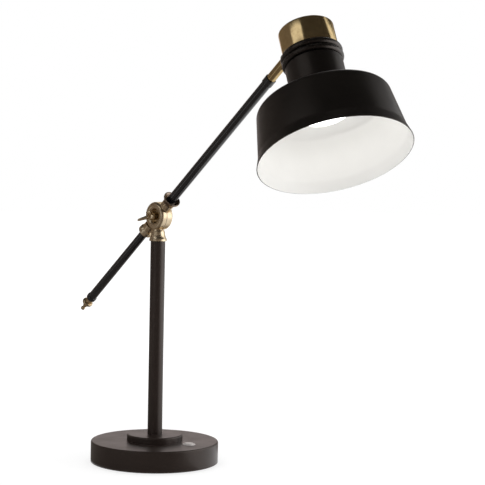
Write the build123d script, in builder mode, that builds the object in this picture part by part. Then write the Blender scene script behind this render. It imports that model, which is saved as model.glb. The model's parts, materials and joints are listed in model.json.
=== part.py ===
"""Swing arm desk lamp: round weighted base, post, two-half swivel knuckle, cross arm and tilting shade.

Millimetres, +Z up. The origin is the centre of the face that the lamp stands on. The cross arm lies
in the XZ plane and rises towards +X; the knuckle turns about Y. The lamp is drawn in its set pose.
"""
import os
from math import asin, cos, degrees, radians, sin, sqrt

from build123d import *

os.makedirs("parts", exist_ok=True)

# Fits and clearances
running_clearance = 0.05
slip_clearance = 0.04
seat_gap = 0.05
body_gap = 0.3
swing_gap = 1.2

# Set pose
arm_elevation = 38.8
shade_lean = 28.2
head_turn = -8.4

# Base
base_diameter = 165.0
base_height = 28.0
base_lift = 1.0
base_wall = 1.6
base_edge_radius = 2.0
nut_room = 1.3
weight_side_gap = 2.0
plate_thickness = 1.6
plate_inset = 0.4
foot_inset = 7.5
foot_thickness = 2.0
boss_diameter = 11.0
boss_inset = 23.5
boss_count = 3
boss_start_angle = 100.0
plate_screw_diameter = 4.0
plate_screw_head = 7.5
plate_screw_bite = 8.0
step_diameter = 72.0
step_height = 8.6
step_edge_radius = 2.0

# Cord gland in the back wall
gland_rise = 7.4
gland_bore = 6.0
gland_hole = 10.0
gland_flange = 13.0
gland_lip = 1.6
channel_width = 24.0
terminal_length = 24.0
terminal_width = 12.0
terminal_height = 8.0
terminal_reach = 46.0
terminal_pitch = 8.0
terminal_hole = 3.0

# Push button
button_inset = 29.7
button_angle = 18.1
button_diameter = 12.6
button_rise = 1.9
button_crown = 0.5
button_travel = 1.5
bezel_rise = 0.9
bezel_wall = 0.75
bezel_flange = 1.4
bezel_depth = 9.0
switch_nut_diameter = 21.0
switch_nut_height = 2.5
switch_size = 15.0
switch_height = 7.5
switch_pocket = 30.0

# Post and the threaded nipple that holds it down
post_diameter = 19.0
post_wall = 1.5
nipple_diameter = 10.0
nipple_bore = 7.0
post_nut_flats = 17.0
post_nut_height = 4.0
post_washer_diameter = 26.0
post_washer_thickness = 1.5
plug_height = 20.0
nipple_bite = 15.0

# Swivel at the head of the post
bush_length = 14.0
bush_flange = 1.0
spigot_diameter = 12.0
spigot_tail = 3.5
ring_groove = 1.0
ring_thickness = 1.2
ring_side_gap = 0.6

# Knuckle
knuckle_height = 319.2
knuckle_diameter = 36.0
front_reach = 8.5
back_reach = 11.0
knuckle_rim_radius = 4.0
dish_diameter = 22.0
dish_depth = 4.5
well_diameter = 17.6
well_depth = 6.6
well_lip_depth = 2.6
friction_washer_thickness = 0.8
friction_washer_diameter = 35.2
pivot_screw_diameter = 6.0
neck_diameter = 15.6
neck_waist = 14.6
post_flange_diameter = 22.6
post_flange_thickness = 2.4
post_neck_reach = 29.8
post_waist = 19.5
post_waist_rise = 3.2
post_shoulder = 17.8
post_shoulder_rise = 7.4
post_root = 15.0

# Wing screw and the nut behind it
wing_hub_diameter = 10.0
wing_hub_length = 14.0
wing_span = 26.0
wing_reach = 18.0
wing_root_thickness = 5.0
wing_tip_thickness = 1.0
wing_tip_diameter = 5.6
wing_angle = 31.0
pivot_nut_flats = 10.0
pivot_nut_height = 5.0

# Cross arm, measured along the arm from the knuckle's centre
neck_reach = 27.0
neck_spigot = 15.0
upper_cup_diameter = 23.0
upper_cup_length = 9.1
upper_cup_depth = 3.1
lower_cup_diameter = 19.7
lower_cup_root = 17.0
lower_cup_length = 7.4
lower_cup_depth = 5.0
cup_wall = 1.3
upper_arm_diameter = 12.0
upper_arm_wall = 1.0
sleeve_overlap = 5.5
sleeve_length = 10.1
sleeve_wall = 0.9
lower_rod_root = 11.0
lower_rod_tip = 11.8
lower_rod_end = 182.0
rod_tenon_diameter = 7.0
rod_tenon_length = 9.0
rod_stud_diameter = 5.0
rod_stud_length = 13.0
end_ring_diameter = 13.6
end_ring_length = 6.6
finial_collar_diameter = 9.0
finial_bead_diameter = 14.7
finial_bead_length = 5.1
finial_bead_reach = 9.0
finial_neck_diameter = 3.4
finial_ball_diameter = 5.8
finial_ball_reach = 23.0

# Tilt hinge between the arm and the head
hinge_reach = 305.1
ferrule_reach = 39.1
ferrule_insert = 22.0
barrel_diameter = 11.6
fork_width = 10.0
fork_slot_depth = 13.0
lug_thickness = 4.0
lug_diameter = 8.0
hinge_screw_diameter = 4.0
hinge_head_diameter = 7.0
hinge_head_height = 2.2
hinge_nut_height = 3.0

# Head, measured along the shade's own axis from its rim
pin_gap = 4.5
pin_rise = 32.5
shade_wall = 1.0
rim_radius = 88.7
lip_height = 12.5
lip_radius = 84.8
lip_blend = 24.0
shoulder_height = 65.3
shoulder_radius = 76.6
shoulder_blend = 6.0
crown_height = 79.3
crown_blend = 12.0
shade_neck_radius = 33.5
shade_neck_top = 119.0
neck_flange_width = 8.0
neck_flange_blend = 1.8
collar_proud = 2.5
collar_groove = 0.1
collar_height = 15.5
collar_thickness = 9.5
collar_spigot_height = 7.0
cap_inset = 1.2
cap_wall = 1.5
cap_height = 30.5
cap_edge_radius = 1.2
shade_screw_diameter = 3.0
shade_screw_head = 5.5
shade_screw_head_height = 2.0
shade_screw_bite = 6.0
shade_screw_count = 3
shade_screw_angle = 60.0

# Lampholder and its bulb
strap_thickness = 1.5
strap_width = 16.0
strap_headroom = 4.5
holder_radius = 17.0
holder_height = 46.0
holder_bore_depth = 34.0
holder_nipple_diameter = 10.0
holder_nipple_bite = 7.0
holder_nut_flats = 14.0
holder_nut_height = 3.0
bulb_face_radius = 31.7
bulb_face_edge = 5.0
bulb_face_thickness = 12.0
bulb_waist_radius = 14.5
bulb_body_length = 45.2
bulb_base_radius = 13.2
bulb_base_length = 24.0
bulb_base_clearance = 0.2

# Heights in the base, from the standing face upwards
plate_bottom = foot_thickness
plate_top = plate_bottom + plate_thickness
gland_height = plate_top + gland_rise
shell_ceiling = base_height - base_wall
weight_bottom = plate_top + nut_room + post_nut_height + post_washer_thickness
weight_thickness = shell_ceiling - weight_bottom
step_top = base_height + step_height
post_top = knuckle_height - post_neck_reach - post_flange_thickness - bush_flange - seat_gap
shell_bore_radius = base_diameter / 2 - base_wall
weight_radius = shell_bore_radius - weight_side_gap
foot_radius = base_diameter / 2 - foot_inset
boss_reach = base_diameter / 2 - boss_inset
post_bore_radius = post_diameter / 2 - post_wall
nipple_hole_radius = nipple_diameter / 2 + running_clearance
button_x = (base_diameter / 2 - button_inset) * cos(radians(button_angle))
button_y = (base_diameter / 2 - button_inset) * sin(radians(button_angle))
bezel_bore_radius = button_diameter / 2 + running_clearance
bezel_body_radius = bezel_bore_radius + bezel_wall
plate_screw_hole_radius = plate_screw_diameter / 2 + running_clearance

# Radii and heights of the head, from the shade's neck
neck_flange_radius = shade_neck_radius - neck_flange_width
collar_radius = shade_neck_radius + collar_proud
collar_groove_radius = shade_neck_radius - collar_groove
collar_bore_radius = shade_neck_radius - collar_thickness
collar_top = shade_neck_top + collar_height
cap_radius = shade_neck_radius - cap_inset
cap_top = collar_top + cap_height
pin_offset = collar_radius + pin_gap
pin_height = shade_neck_top + pin_rise

# Planes and axes: the knuckle, the arm and the head
knuckle = Vector(0, 0, knuckle_height)
arm_way = Vector(cos(radians(arm_elevation)), 0, sin(radians(arm_elevation)))
arm_line = Plane(origin=knuckle, x_dir=(0, 1, 0), z_dir=arm_way)
arm_side = Plane(origin=knuckle, x_dir=arm_way, z_dir=(0, -1, 0))
arm_axis = Axis(knuckle, arm_way)
rod_line = Plane(origin=knuckle, x_dir=(0, 1, 0), z_dir=-arm_way)
rod_side = Plane(origin=knuckle, x_dir=-arm_way, z_dir=(0, -1, 0))
pivot_axis = Axis(knuckle, (0, 1, 0))
front_side = Plane(origin=knuckle, x_dir=(0, -1, 0), z_dir=(1, 0, 0))
back_side = Plane(origin=knuckle, x_dir=(0, 1, 0), z_dir=(1, 0, 0))
front_line = Plane(origin=knuckle, x_dir=(1, 0, 0), z_dir=(0, -1, 0))
back_line = Plane(origin=knuckle, x_dir=(1, 0, 0), z_dir=(0, 1, 0))

pin = knuckle + arm_way * hinge_reach
shade_up = Vector(-sin(radians(shade_lean)), 0, cos(radians(shade_lean))).rotate(arm_axis, head_turn)
shade_out = Vector(cos(radians(shade_lean)), 0, sin(radians(shade_lean))).rotate(arm_axis, head_turn)
pin_way = Vector(0, 1, 0).rotate(arm_axis, head_turn)
rim_centre = pin + shade_out * pin_offset - shade_up * pin_height
head_line = Plane(origin=rim_centre, x_dir=shade_out, z_dir=shade_up)
head_side = Plane(origin=rim_centre, x_dir=shade_up, z_dir=pin_way)
head_axis = Axis(rim_centre, shade_up)
hinge_line = Plane(origin=pin, x_dir=arm_way, z_dir=pin_way)
hinge_side = Plane(origin=pin, x_dir=shade_out, z_dir=-pin_way)

rising = (Align.CENTER, Align.CENTER, Align.MIN)
falling = (Align.CENTER, Align.CENTER, Align.MAX)


def save(piece, name):
    """Labels a finished piece and writes its file."""
    piece.part.label = name
    export_step(piece.part, f"parts/{name}.step")


# Base shell: a drawn steel cup, open below, with holes for the nipple, the button and the cord
with BuildPart() as base_shell:
    with BuildSketch(Plane.XZ):
        with BuildLine():
            Polyline(
                (nipple_hole_radius, base_height),
                (base_diameter / 2, base_height),
                (base_diameter / 2, base_lift),
                (shell_bore_radius, base_lift),
                (shell_bore_radius, shell_ceiling),
                (nipple_hole_radius, shell_ceiling),
                close=True,
            )
        make_face()
    revolve(axis=Axis.Z)
    fillet(base_shell.edges().filter_by(GeomType.CIRCLE).group_by(Axis.Z)[-1].sort_by(SortBy.RADIUS)[-1],
           base_edge_radius)
    with Locations((button_x, button_y, base_height)):
        Cylinder(bezel_body_radius + slip_clearance, base_wall * 3, mode=Mode.SUBTRACT)
    with BuildSketch(Plane.YZ.offset(-base_diameter / 2)):
        with Locations((0, gland_height)):
            Circle(gland_hole / 2)
    extrude(amount=base_wall * 2, both=True, mode=Mode.SUBTRACT)
save(base_shell, "base_shell")

# Iron weight under the shell's top, with cast bosses for the bottom plate and pockets for the wiring
channel_length = weight_radius - post_washer_diameter / 2 - body_gap
with BuildPart(Plane.XY.offset(weight_bottom)) as base_weight:
    Cylinder(weight_radius, weight_thickness, align=rising)
    with PolarLocations(boss_reach, boss_count, start_angle=boss_start_angle):
        Cylinder(boss_diameter / 2, weight_bottom - plate_top, align=falling)
    Cylinder(nipple_hole_radius, weight_thickness, align=rising, mode=Mode.SUBTRACT)
    with Locations((button_x, button_y, 0)):
        Cylinder(switch_pocket / 2, weight_thickness, align=rising, mode=Mode.SUBTRACT)
    with Locations((-weight_radius, 0, 0)):
        Box(2 * channel_length, channel_width, terminal_height + body_gap, align=rising, mode=Mode.SUBTRACT)
    with PolarLocations(boss_reach, boss_count, start_angle=boss_start_angle):
        with Locations((0, 0, plate_top - weight_bottom)):
            Cylinder(plate_screw_hole_radius, plate_screw_bite, align=rising, mode=Mode.SUBTRACT)
save(base_weight, "base_weight")

# Bottom plate, with countersunk holes
with BuildPart(Plane.XY.offset(plate_bottom)) as base_plate:
    Cylinder(shell_bore_radius - plate_inset, plate_thickness, align=rising)
    with PolarLocations(boss_reach, boss_count, start_angle=boss_start_angle):
        Cylinder(plate_screw_hole_radius, plate_thickness, align=rising, mode=Mode.SUBTRACT)
        Cone(plate_screw_head / 2 + running_clearance, plate_screw_hole_radius, plate_thickness,
             align=rising, mode=Mode.SUBTRACT)
save(base_plate, "base_plate")

# Countersunk screws that hold the bottom plate to the weight
with BuildPart(Plane.XY.offset(plate_bottom)) as plate_screws:
    with PolarLocations(boss_reach, boss_count, start_angle=boss_start_angle):
        Cone(plate_screw_head / 2, plate_screw_diameter / 2, plate_thickness, align=rising)
        Cylinder(plate_screw_diameter / 2, plate_thickness + plate_screw_bite - body_gap, align=rising)
save(plate_screws, "plate_screws")

# Foam pad that the lamp stands on
with BuildPart() as foot_pad:
    Cylinder(foot_radius, foot_thickness, align=rising)
    chamfer(foot_pad.edges().group_by(Axis.Z)[0], foot_thickness / 4)
save(foot_pad, "foot_pad")

# Rubber gland in the back wall: two lips with the wall between them
with BuildPart() as cord_gland:
    with BuildSketch(Plane(origin=(-base_diameter / 2, 0, gland_height), x_dir=(1, 0, 0), z_dir=(0, -1, 0))):
        with BuildLine():
            Polyline(
                (-seat_gap - gland_lip, gland_bore / 2),
                (-seat_gap - gland_lip, gland_flange / 2 - gland_lip / 2),
                (-seat_gap - gland_lip / 2, gland_flange / 2),
                (-seat_gap, gland_flange / 2),
                (-seat_gap, gland_hole / 2 - running_clearance),
                (base_wall + body_gap, gland_hole / 2 - running_clearance),
                (base_wall + body_gap, gland_flange / 2),
                (base_wall + body_gap + gland_lip, gland_flange / 2),
                (base_wall + body_gap + gland_lip, gland_bore / 2),
                close=True,
            )
        make_face()
    revolve(axis=Axis((-base_diameter / 2, 0, gland_height), (1, 0, 0)))
save(cord_gland, "cord_gland")

# Terminal block against the roof of the wiring channel
with BuildPart(Plane.XY.offset(weight_bottom + body_gap)) as terminal_block:
    with Locations((-terminal_reach, 0, 0)):
        Box(terminal_width, terminal_length - 2 * body_gap, terminal_height, align=rising)
        with GridLocations(terminal_width / 2, terminal_pitch, 2, 3):
            Cylinder(terminal_hole / 2, terminal_height / 2, align=rising, mode=Mode.SUBTRACT)
save(terminal_block, "terminal_block")

# Push button, its bezel, the nut that clamps the bezel and the switch below
button_place = Plane(origin=(button_x, button_y, base_height), x_dir=(1, 0, 0), z_dir=(0, 0, 1))
bezel_bottom = bezel_rise - bezel_depth
with BuildPart(button_place) as button_bezel:
    Cylinder(bezel_body_radius + bezel_flange, bezel_rise, align=rising)
    chamfer(button_bezel.edges().group_by(Axis.Z)[-1], bezel_rise / 2)
    with Locations((0, 0, bezel_bottom)):
        Cylinder(bezel_body_radius, bezel_depth - bezel_rise, align=rising)
    with Locations((0, 0, bezel_bottom)):
        Cylinder(bezel_bore_radius, bezel_depth, align=rising, mode=Mode.SUBTRACT)
save(button_bezel, "button_bezel")

with BuildPart(button_place.offset(button_rise)) as push_button:
    Cylinder(button_diameter / 2, button_rise - bezel_bottom - button_travel - body_gap, align=falling)
    fillet(push_button.edges().group_by(Axis.Z)[-1], button_crown)
save(push_button, "push_button")

with BuildPart(button_place.offset(-base_wall)) as switch_nut:
    Cylinder(switch_nut_diameter / 2, switch_nut_height, align=falling)
    Cylinder(bezel_body_radius + slip_clearance, switch_nut_height, align=falling, mode=Mode.SUBTRACT)
save(switch_nut, "switch_nut")

with BuildPart(button_place.offset(bezel_bottom)) as switch_body:
    Box(switch_size, switch_size, switch_height, align=falling)
    chamfer(switch_body.edges().filter_by(Axis.Z), switch_size / 10)
save(switch_body, "switch_body")

# Step disc that covers the foot of the post
with BuildPart(Plane.XY.offset(base_height)) as base_step:
    Cylinder(step_diameter / 2, step_height, align=rising)
    fillet(base_step.edges().group_by(Axis.Z)[-1], step_edge_radius)
    Cylinder(nipple_hole_radius, step_height, align=rising, mode=Mode.SUBTRACT)
save(base_step, "base_step")

# Threaded nipple through the base, with its washer and nut below the weight
with BuildPart(Plane.XY.offset(weight_bottom)) as post_washer:
    Cylinder(post_washer_diameter / 2, post_washer_thickness, align=falling)
    Cylinder(nipple_hole_radius, post_washer_thickness, align=falling, mode=Mode.SUBTRACT)
save(post_washer, "post_washer")

post_nut_top = weight_bottom - post_washer_thickness
with BuildPart() as post_nut:
    with BuildSketch(Plane.XY.offset(post_nut_top)):
        RegularPolygon(post_nut_flats / 2, 6, major_radius=False)
        Circle(nipple_hole_radius, mode=Mode.SUBTRACT)
    extrude(amount=-post_nut_height)
save(post_nut, "post_nut")

nipple_length = step_top + nipple_bite - post_nut_top + post_nut_height
with BuildPart(Plane.XY.offset(step_top + nipple_bite)) as post_nipple:
    Cylinder(nipple_diameter / 2, nipple_length, align=falling)
    Cylinder(nipple_bore / 2, nipple_length, align=falling, mode=Mode.SUBTRACT)
save(post_nipple, "post_nipple")

# Post: a steel tube on the step disc, with a threaded plug in its foot and a nylon bush in its head
with BuildPart(Plane.XY.offset(step_top)) as post_tube:
    Cylinder(post_diameter / 2, post_top - step_top, align=rising)
    Cylinder(post_bore_radius, post_top - step_top, align=rising, mode=Mode.SUBTRACT)
save(post_tube, "post_tube")

with BuildPart(Plane.XY.offset(step_top)) as post_plug:
    Cylinder(post_bore_radius - slip_clearance, plug_height, align=rising)
    Cylinder(nipple_hole_radius, plug_height, align=rising, mode=Mode.SUBTRACT)
save(post_plug, "post_plug")

spigot_radius = spigot_diameter / 2
with BuildPart(Plane.XY.offset(post_top)) as swivel_bush:
    Cylinder(post_diameter / 2, bush_flange, align=rising)
    Cylinder(post_bore_radius - slip_clearance, bush_length, align=falling)
    with Locations((0, 0, bush_flange)):
        Cylinder(spigot_radius + running_clearance, bush_length + bush_flange, align=falling,
                 mode=Mode.SUBTRACT)
save(swivel_bush, "swivel_bush")

# Post half of the knuckle: front disc, waisted neck, flange and the spigot that turns in the bush
half_washer = friction_washer_thickness / 2
knuckle_radius = knuckle_diameter / 2
knuckle_length = front_reach + back_reach
well_floor = front_reach - well_depth
well_lip_floor = front_reach - well_lip_depth
well_radius = well_diameter / 2
back_floor = back_reach - dish_depth
screw_hole_radius = pivot_screw_diameter / 2 + running_clearance
neck_root = knuckle_radius - knuckle_rim_radius
diagonal = sin(radians(45))
post_root_height = knuckle_height - knuckle_radius + swing_gap / 2
swell_height = dish_depth * diagonal
swell_radius = neck_root - (neck_root - dish_diameter / 2) * diagonal
well_lip_height = well_lip_depth * diagonal
well_lip_radius = neck_root - (neck_root - well_radius) * diagonal
flange_bottom = post_top + bush_flange + seat_gap
flange_top = flange_bottom + post_flange_thickness
spigot_bottom = post_top - bush_length - spigot_tail
groove_top = post_top - bush_length - seat_gap
with BuildPart() as post_knuckle:
    with BuildSketch(Plane.XZ):
        with BuildLine():
            foot = Line((spigot_radius, flange_bottom), (post_flange_diameter / 2, flange_bottom))
            edge = Line(foot @ 1, (post_flange_diameter / 2, flange_top))
            waist = ThreePointArc(
                edge @ 1,
                (post_waist / 2, flange_top + post_waist_rise),
                (post_shoulder / 2, flange_top + post_shoulder_rise),
            )
            shoulder = TangentArc(
                waist @ 1, (post_root / 2, post_root_height), tangent=waist % 1
            )
            Polyline(
                shoulder @ 1,
                (post_root / 2, knuckle_height - neck_root),
                (0, knuckle_height - neck_root),
                (0, spigot_bottom),
                (spigot_radius, spigot_bottom),
                (spigot_radius, groove_top - ring_thickness - seat_gap),
                (spigot_radius - ring_groove, groove_top - ring_thickness - seat_gap),
                (spigot_radius - ring_groove, groove_top),
                (spigot_radius, groove_top),
                foot @ 0,
            )
        make_face()
    revolve(axis=Axis.Z)
    with BuildSketch(front_line.offset(half_washer)):
        Circle(knuckle_radius + swing_gap)
    extrude(amount=-knuckle_length, mode=Mode.SUBTRACT)
    with BuildSketch(front_side):
        with BuildLine():
            wall = Polyline(
                (well_floor, well_radius),
                (well_floor, screw_hole_radius),
                (half_washer, screw_hole_radius),
                (half_washer, knuckle_radius),
                (front_reach - knuckle_rim_radius, knuckle_radius),
            )
            rim = CenterArc((front_reach - knuckle_rim_radius, neck_root), knuckle_rim_radius, 90, -90)
            bead = ThreePointArc(
                rim @ 1,
                (well_lip_floor + well_lip_height, well_lip_radius),
                (well_lip_floor, well_radius),
            )
            Line(bead @ 1, wall @ 0)
        make_face()
    revolve(axis=pivot_axis)
save(post_knuckle, "post_knuckle")

with BuildPart(Plane.XY.offset(groove_top - seat_gap)) as retaining_ring:
    Cylinder(post_bore_radius - ring_side_gap, ring_thickness - seat_gap, align=falling)
    Cylinder(spigot_radius - ring_groove + running_clearance, ring_thickness, align=falling,
             mode=Mode.SUBTRACT)
    with Locations((spigot_radius, 0, 0)):
        Box(spigot_diameter, spigot_radius, ring_thickness, align=falling, mode=Mode.SUBTRACT)
save(retaining_ring, "retaining_ring")

# Fibre washer between the two halves
with BuildPart(front_line.offset(-half_washer + seat_gap)) as friction_washer:
    Cylinder(friction_washer_diameter / 2, friction_washer_thickness - seat_gap, align=rising)
    Cylinder(screw_hole_radius, friction_washer_thickness, align=rising, mode=Mode.SUBTRACT)
save(friction_washer, "friction_washer")

# Arm half of the knuckle: back disc and two opposed necks, one with a spigot and one with a socket
tube_bore_radius = upper_arm_diameter / 2 - upper_arm_wall
rod_tenon_radius = rod_tenon_diameter / 2
with BuildPart() as arm_knuckle:
    with BuildSketch(arm_side):
        with BuildLine():
            neck = ThreePointArc(
                (-neck_reach, neck_diameter / 2),
                (0, neck_waist / 2),
                (neck_reach, neck_diameter / 2),
            )
            Polyline(
                neck @ 1,
                (neck_reach, tube_bore_radius - slip_clearance),
                (neck_reach + neck_spigot, tube_bore_radius - slip_clearance),
                (neck_reach + neck_spigot, 0),
                (rod_tenon_length + body_gap - neck_reach, 0),
                (rod_tenon_length + body_gap - neck_reach, rod_tenon_radius + slip_clearance),
                (-neck_reach, rod_tenon_radius + slip_clearance),
                neck @ 0,
            )
        make_face()
    revolve(axis=arm_axis)
    with BuildSketch(back_line.offset(half_washer)):
        Circle(knuckle_radius + swing_gap)
    extrude(amount=-knuckle_length, mode=Mode.SUBTRACT)
    with BuildSketch(back_line):
        Circle(neck_root)
    extrude(amount=knuckle_length, mode=Mode.SUBTRACT)
    with BuildSketch(back_side):
        with BuildLine():
            wall = Polyline(
                (back_floor, 0),
                (half_washer, 0),
                (half_washer, knuckle_radius),
                (back_reach - knuckle_rim_radius, knuckle_radius),
            )
            rim = CenterArc((back_reach - knuckle_rim_radius, neck_root), knuckle_rim_radius, 90, -90)
            bead = ThreePointArc(
                rim @ 1,
                (back_floor + swell_height, swell_radius),
                (back_floor, dish_diameter / 2),
            )
            Line(bead @ 1, wall @ 0)
        make_face()
    revolve(axis=pivot_axis)
    with BuildSketch(back_line):
        Circle(screw_hole_radius)
    extrude(amount=knuckle_length, mode=Mode.SUBTRACT)
save(arm_knuckle, "arm_knuckle")

# Wing screw through both halves, and the nut that it draws on
shank_length = well_floor + back_floor + pivot_nut_height
wing_way = Vector(cos(radians(wing_angle)), 0, sin(radians(wing_angle)))
wing_side = Plane(origin=knuckle, x_dir=wing_way, z_dir=(wing_way.Z, 0, -wing_way.X))
wing_tip_radius = wing_tip_diameter / 2
wing_root = front_reach + wing_tip_radius
wing_end = front_reach + wing_reach
with BuildPart(front_line.offset(well_floor + seat_gap)) as wing_screw:
    for side in (-1, 1):
        with BuildSketch(wing_side):
            with Locations((0, wing_root)):
                Circle(wing_tip_radius)
            with Locations((side * (wing_span / 2 - wing_tip_radius), wing_end - wing_tip_radius)):
                Circle(wing_tip_radius)
            make_hull()
        extrude(amount=wing_root_thickness / 2, both=True)
    with BuildSketch(front_line):
        Polygon(
            (-wing_span / 2, wing_tip_thickness / 2),
            (-wing_span / 2, -wing_tip_thickness / 2),
            (0, -wing_root_thickness / 2),
            (wing_span / 2, -wing_tip_thickness / 2),
            (wing_span / 2, wing_tip_thickness / 2),
            (0, wing_root_thickness / 2),
            rotation=wing_angle,
        )
    extrude(amount=wing_end, mode=Mode.INTERSECT)
    Cylinder(wing_hub_diameter / 2, wing_hub_length, align=rising)
    Cylinder(pivot_screw_diameter / 2, shank_length, align=falling)
save(wing_screw, "wing_screw")

with BuildPart() as pivot_nut:
    with BuildSketch(back_line.offset(back_floor)):
        RegularPolygon(pivot_nut_flats / 2, 6, major_radius=False)
        Circle(screw_hole_radius, mode=Mode.SUBTRACT)
    extrude(amount=pivot_nut_height)
save(pivot_nut, "pivot_nut")

# Upper arm: open cup on the knuckle's neck, steel tube and the black sleeve at its end
upper_arm_end = hinge_reach - ferrule_reach
sleeve_start = upper_arm_end - sleeve_overlap
cup_radius = upper_cup_diameter / 2
cup_mouth = neck_reach + upper_cup_length
cup_floor = cup_mouth - upper_cup_depth
with BuildPart() as upper_cup:
    with BuildSketch(arm_side):
        with BuildLine():
            flare = ThreePointArc(
                (neck_reach, neck_diameter / 2),
                ((neck_reach + cup_floor) / 2 + cup_wall, neck_diameter / 2 + cup_wall / 2),
                (cup_mouth - cup_wall, cup_radius),
            )
            Polyline(
                flare @ 1,
                (cup_mouth, cup_radius),
                (cup_mouth, cup_radius - cup_wall),
                (cup_floor, neck_waist / 2),
                (cup_floor, upper_arm_diameter / 2 + slip_clearance),
                (neck_reach, upper_arm_diameter / 2 + slip_clearance),
                flare @ 0,
            )
        make_face()
    revolve(axis=arm_axis)
save(upper_cup, "upper_cup")

with BuildPart(arm_line.offset(neck_reach)) as upper_arm:
    Cylinder(upper_arm_diameter / 2, upper_arm_end - neck_reach, align=rising)
    Cylinder(tube_bore_radius, upper_arm_end - neck_reach, align=rising, mode=Mode.SUBTRACT)
save(upper_arm, "upper_arm")

ferrule_radius = tube_bore_radius - running_clearance
with BuildPart(arm_line.offset(sleeve_start)) as arm_sleeve:
    Cylinder(upper_arm_diameter / 2 + sleeve_wall, sleeve_length, align=rising)
    chamfer(arm_sleeve.edges(), upper_arm_wall / 2)
    Cylinder(upper_arm_diameter / 2 + slip_clearance, upper_arm_end - sleeve_start, align=rising,
             mode=Mode.SUBTRACT)
    Cylinder(tube_bore_radius, sleeve_length, align=rising, mode=Mode.SUBTRACT)
save(arm_sleeve, "arm_sleeve")

# Lower arm: bell cup, tapered counter rod, end ring and turned finial
rod_hole_radius = max(lower_rod_root, lower_rod_tip) / 2 + slip_clearance
bell_radius = lower_cup_diameter / 2
bell_mouth = neck_reach + lower_cup_length
bell_floor = bell_mouth - lower_cup_depth
with BuildPart() as lower_cup:
    with BuildSketch(rod_side):
        with BuildLine():
            bell = ThreePointArc(
                (neck_reach, lower_cup_root / 2),
                ((neck_reach + bell_mouth) / 2, (lower_cup_root + 3 * lower_cup_diameter) / 8),
                (bell_mouth, bell_radius),
            )
            Polyline(
                bell @ 1,
                (bell_mouth, bell_radius - cup_wall),
                (bell_floor, (lower_cup_root - cup_wall) / 2),
                (bell_floor, rod_hole_radius),
                (neck_reach, rod_hole_radius),
                bell @ 0,
            )
        make_face()
    revolve(axis=arm_axis)
save(lower_cup, "lower_cup")

with BuildPart(rod_line.offset(neck_reach)) as lower_rod:
    Cone(lower_rod_root / 2, lower_rod_tip / 2, lower_rod_end - neck_reach, align=rising)
    Cylinder(rod_tenon_radius, rod_tenon_length, align=falling)
    with Locations((0, 0, lower_rod_end - neck_reach)):
        Cylinder(rod_stud_diameter / 2, rod_stud_length, align=rising)
save(lower_rod, "lower_rod")

stud_hole_radius = rod_stud_diameter / 2 + slip_clearance
with BuildPart(rod_line.offset(lower_rod_end)) as end_ring:
    Cylinder(end_ring_diameter / 2, end_ring_length, align=rising)
    fillet(end_ring.edges(), end_ring_length / 4)
    Cylinder(stud_hole_radius, end_ring_length, align=rising, mode=Mode.SUBTRACT)
save(end_ring, "end_ring")

finial_start = lower_rod_end + end_ring_length
bead_radius = finial_bead_diameter / 2
bead_half = finial_bead_length / 2
ball_radius = finial_ball_diameter / 2
ball_cut = degrees(asin(finial_neck_diameter / finial_ball_diameter))
bead_centre = finial_start + finial_bead_reach
ball_centre = finial_start + finial_ball_reach
with BuildPart() as finial:
    with BuildSketch(rod_side):
        with BuildLine():
            foot = Polyline(
                (lower_rod_end + rod_stud_length + body_gap, 0),
                (lower_rod_end + rod_stud_length + body_gap, stud_hole_radius),
                (finial_start, stud_hole_radius),
                (finial_start, finial_collar_diameter / 2),
                (bead_centre - bead_half, finial_collar_diameter / 2),
            )
            bead = ThreePointArc(
                foot @ 1,
                (bead_centre, bead_radius),
                (bead_centre + bead_half, finial_collar_diameter / 2),
            )
            ball = CenterArc((ball_centre, 0), ball_radius, 180 - ball_cut, ball_cut - 180)
            Line(bead @ 1, ball @ 0)
            Line(ball @ 1, foot @ 0)
        make_face()
    revolve(axis=arm_axis)
save(finial, "finial")

# Brass ferrule that turns in the end of the arm, with a barrel that forks round the head's lug
barrel_radius = barrel_diameter / 2
barrel_start = sleeve_start + sleeve_length + body_gap
ferrule_start = upper_arm_end - ferrule_insert
slot_width = lug_thickness + 2 * running_clearance
hinge_hole_radius = hinge_screw_diameter / 2 + running_clearance
with BuildPart(arm_line) as ferrule:
    with Locations((0, 0, ferrule_start)):
        Cylinder(ferrule_radius, barrel_start - ferrule_start, align=rising)
    with Locations((0, 0, barrel_start)):
        Cylinder(barrel_radius, hinge_reach + barrel_radius - barrel_start, align=rising)
    with BuildSketch(hinge_line):
        Circle(barrel_radius)
        with Locations((ferrule_start - hinge_reach, 0)):
            Circle(barrel_radius)
        make_hull()
    extrude(amount=barrel_radius, both=True, mode=Mode.INTERSECT)
    with BuildSketch(hinge_line):
        with Locations((-fork_slot_depth, 0)):
            Rectangle(fork_slot_depth + barrel_diameter, barrel_diameter, align=(Align.MIN, Align.CENTER))
    extrude(amount=slot_width / 2, both=True, mode=Mode.SUBTRACT)
    with BuildSketch(hinge_line):
        Circle(hinge_hole_radius)
    extrude(amount=fork_width, both=True, mode=Mode.SUBTRACT)
    near_side = hinge_line.offset(-fork_width / 2 - barrel_radius)
    far_side = hinge_line.offset(fork_width / 2)
    with BuildSketch(near_side, far_side):
        Circle(barrel_radius)
    extrude(amount=barrel_radius, mode=Mode.SUBTRACT)
save(ferrule, "ferrule")

with BuildPart(hinge_line.offset(-fork_width / 2)) as hinge_screw:
    Cylinder(hinge_head_diameter / 2, hinge_head_height, align=falling)
    Cylinder(hinge_screw_diameter / 2, fork_width + hinge_nut_height, align=rising)
save(hinge_screw, "hinge_screw")

with BuildPart() as hinge_nut:
    with BuildSketch(hinge_line.offset(fork_width / 2)):
        RegularPolygon(hinge_head_diameter / 2, 6, major_radius=False)
        Circle(hinge_hole_radius, mode=Mode.SUBTRACT)
    extrude(amount=hinge_nut_height)
save(hinge_nut, "hinge_nut")

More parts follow.
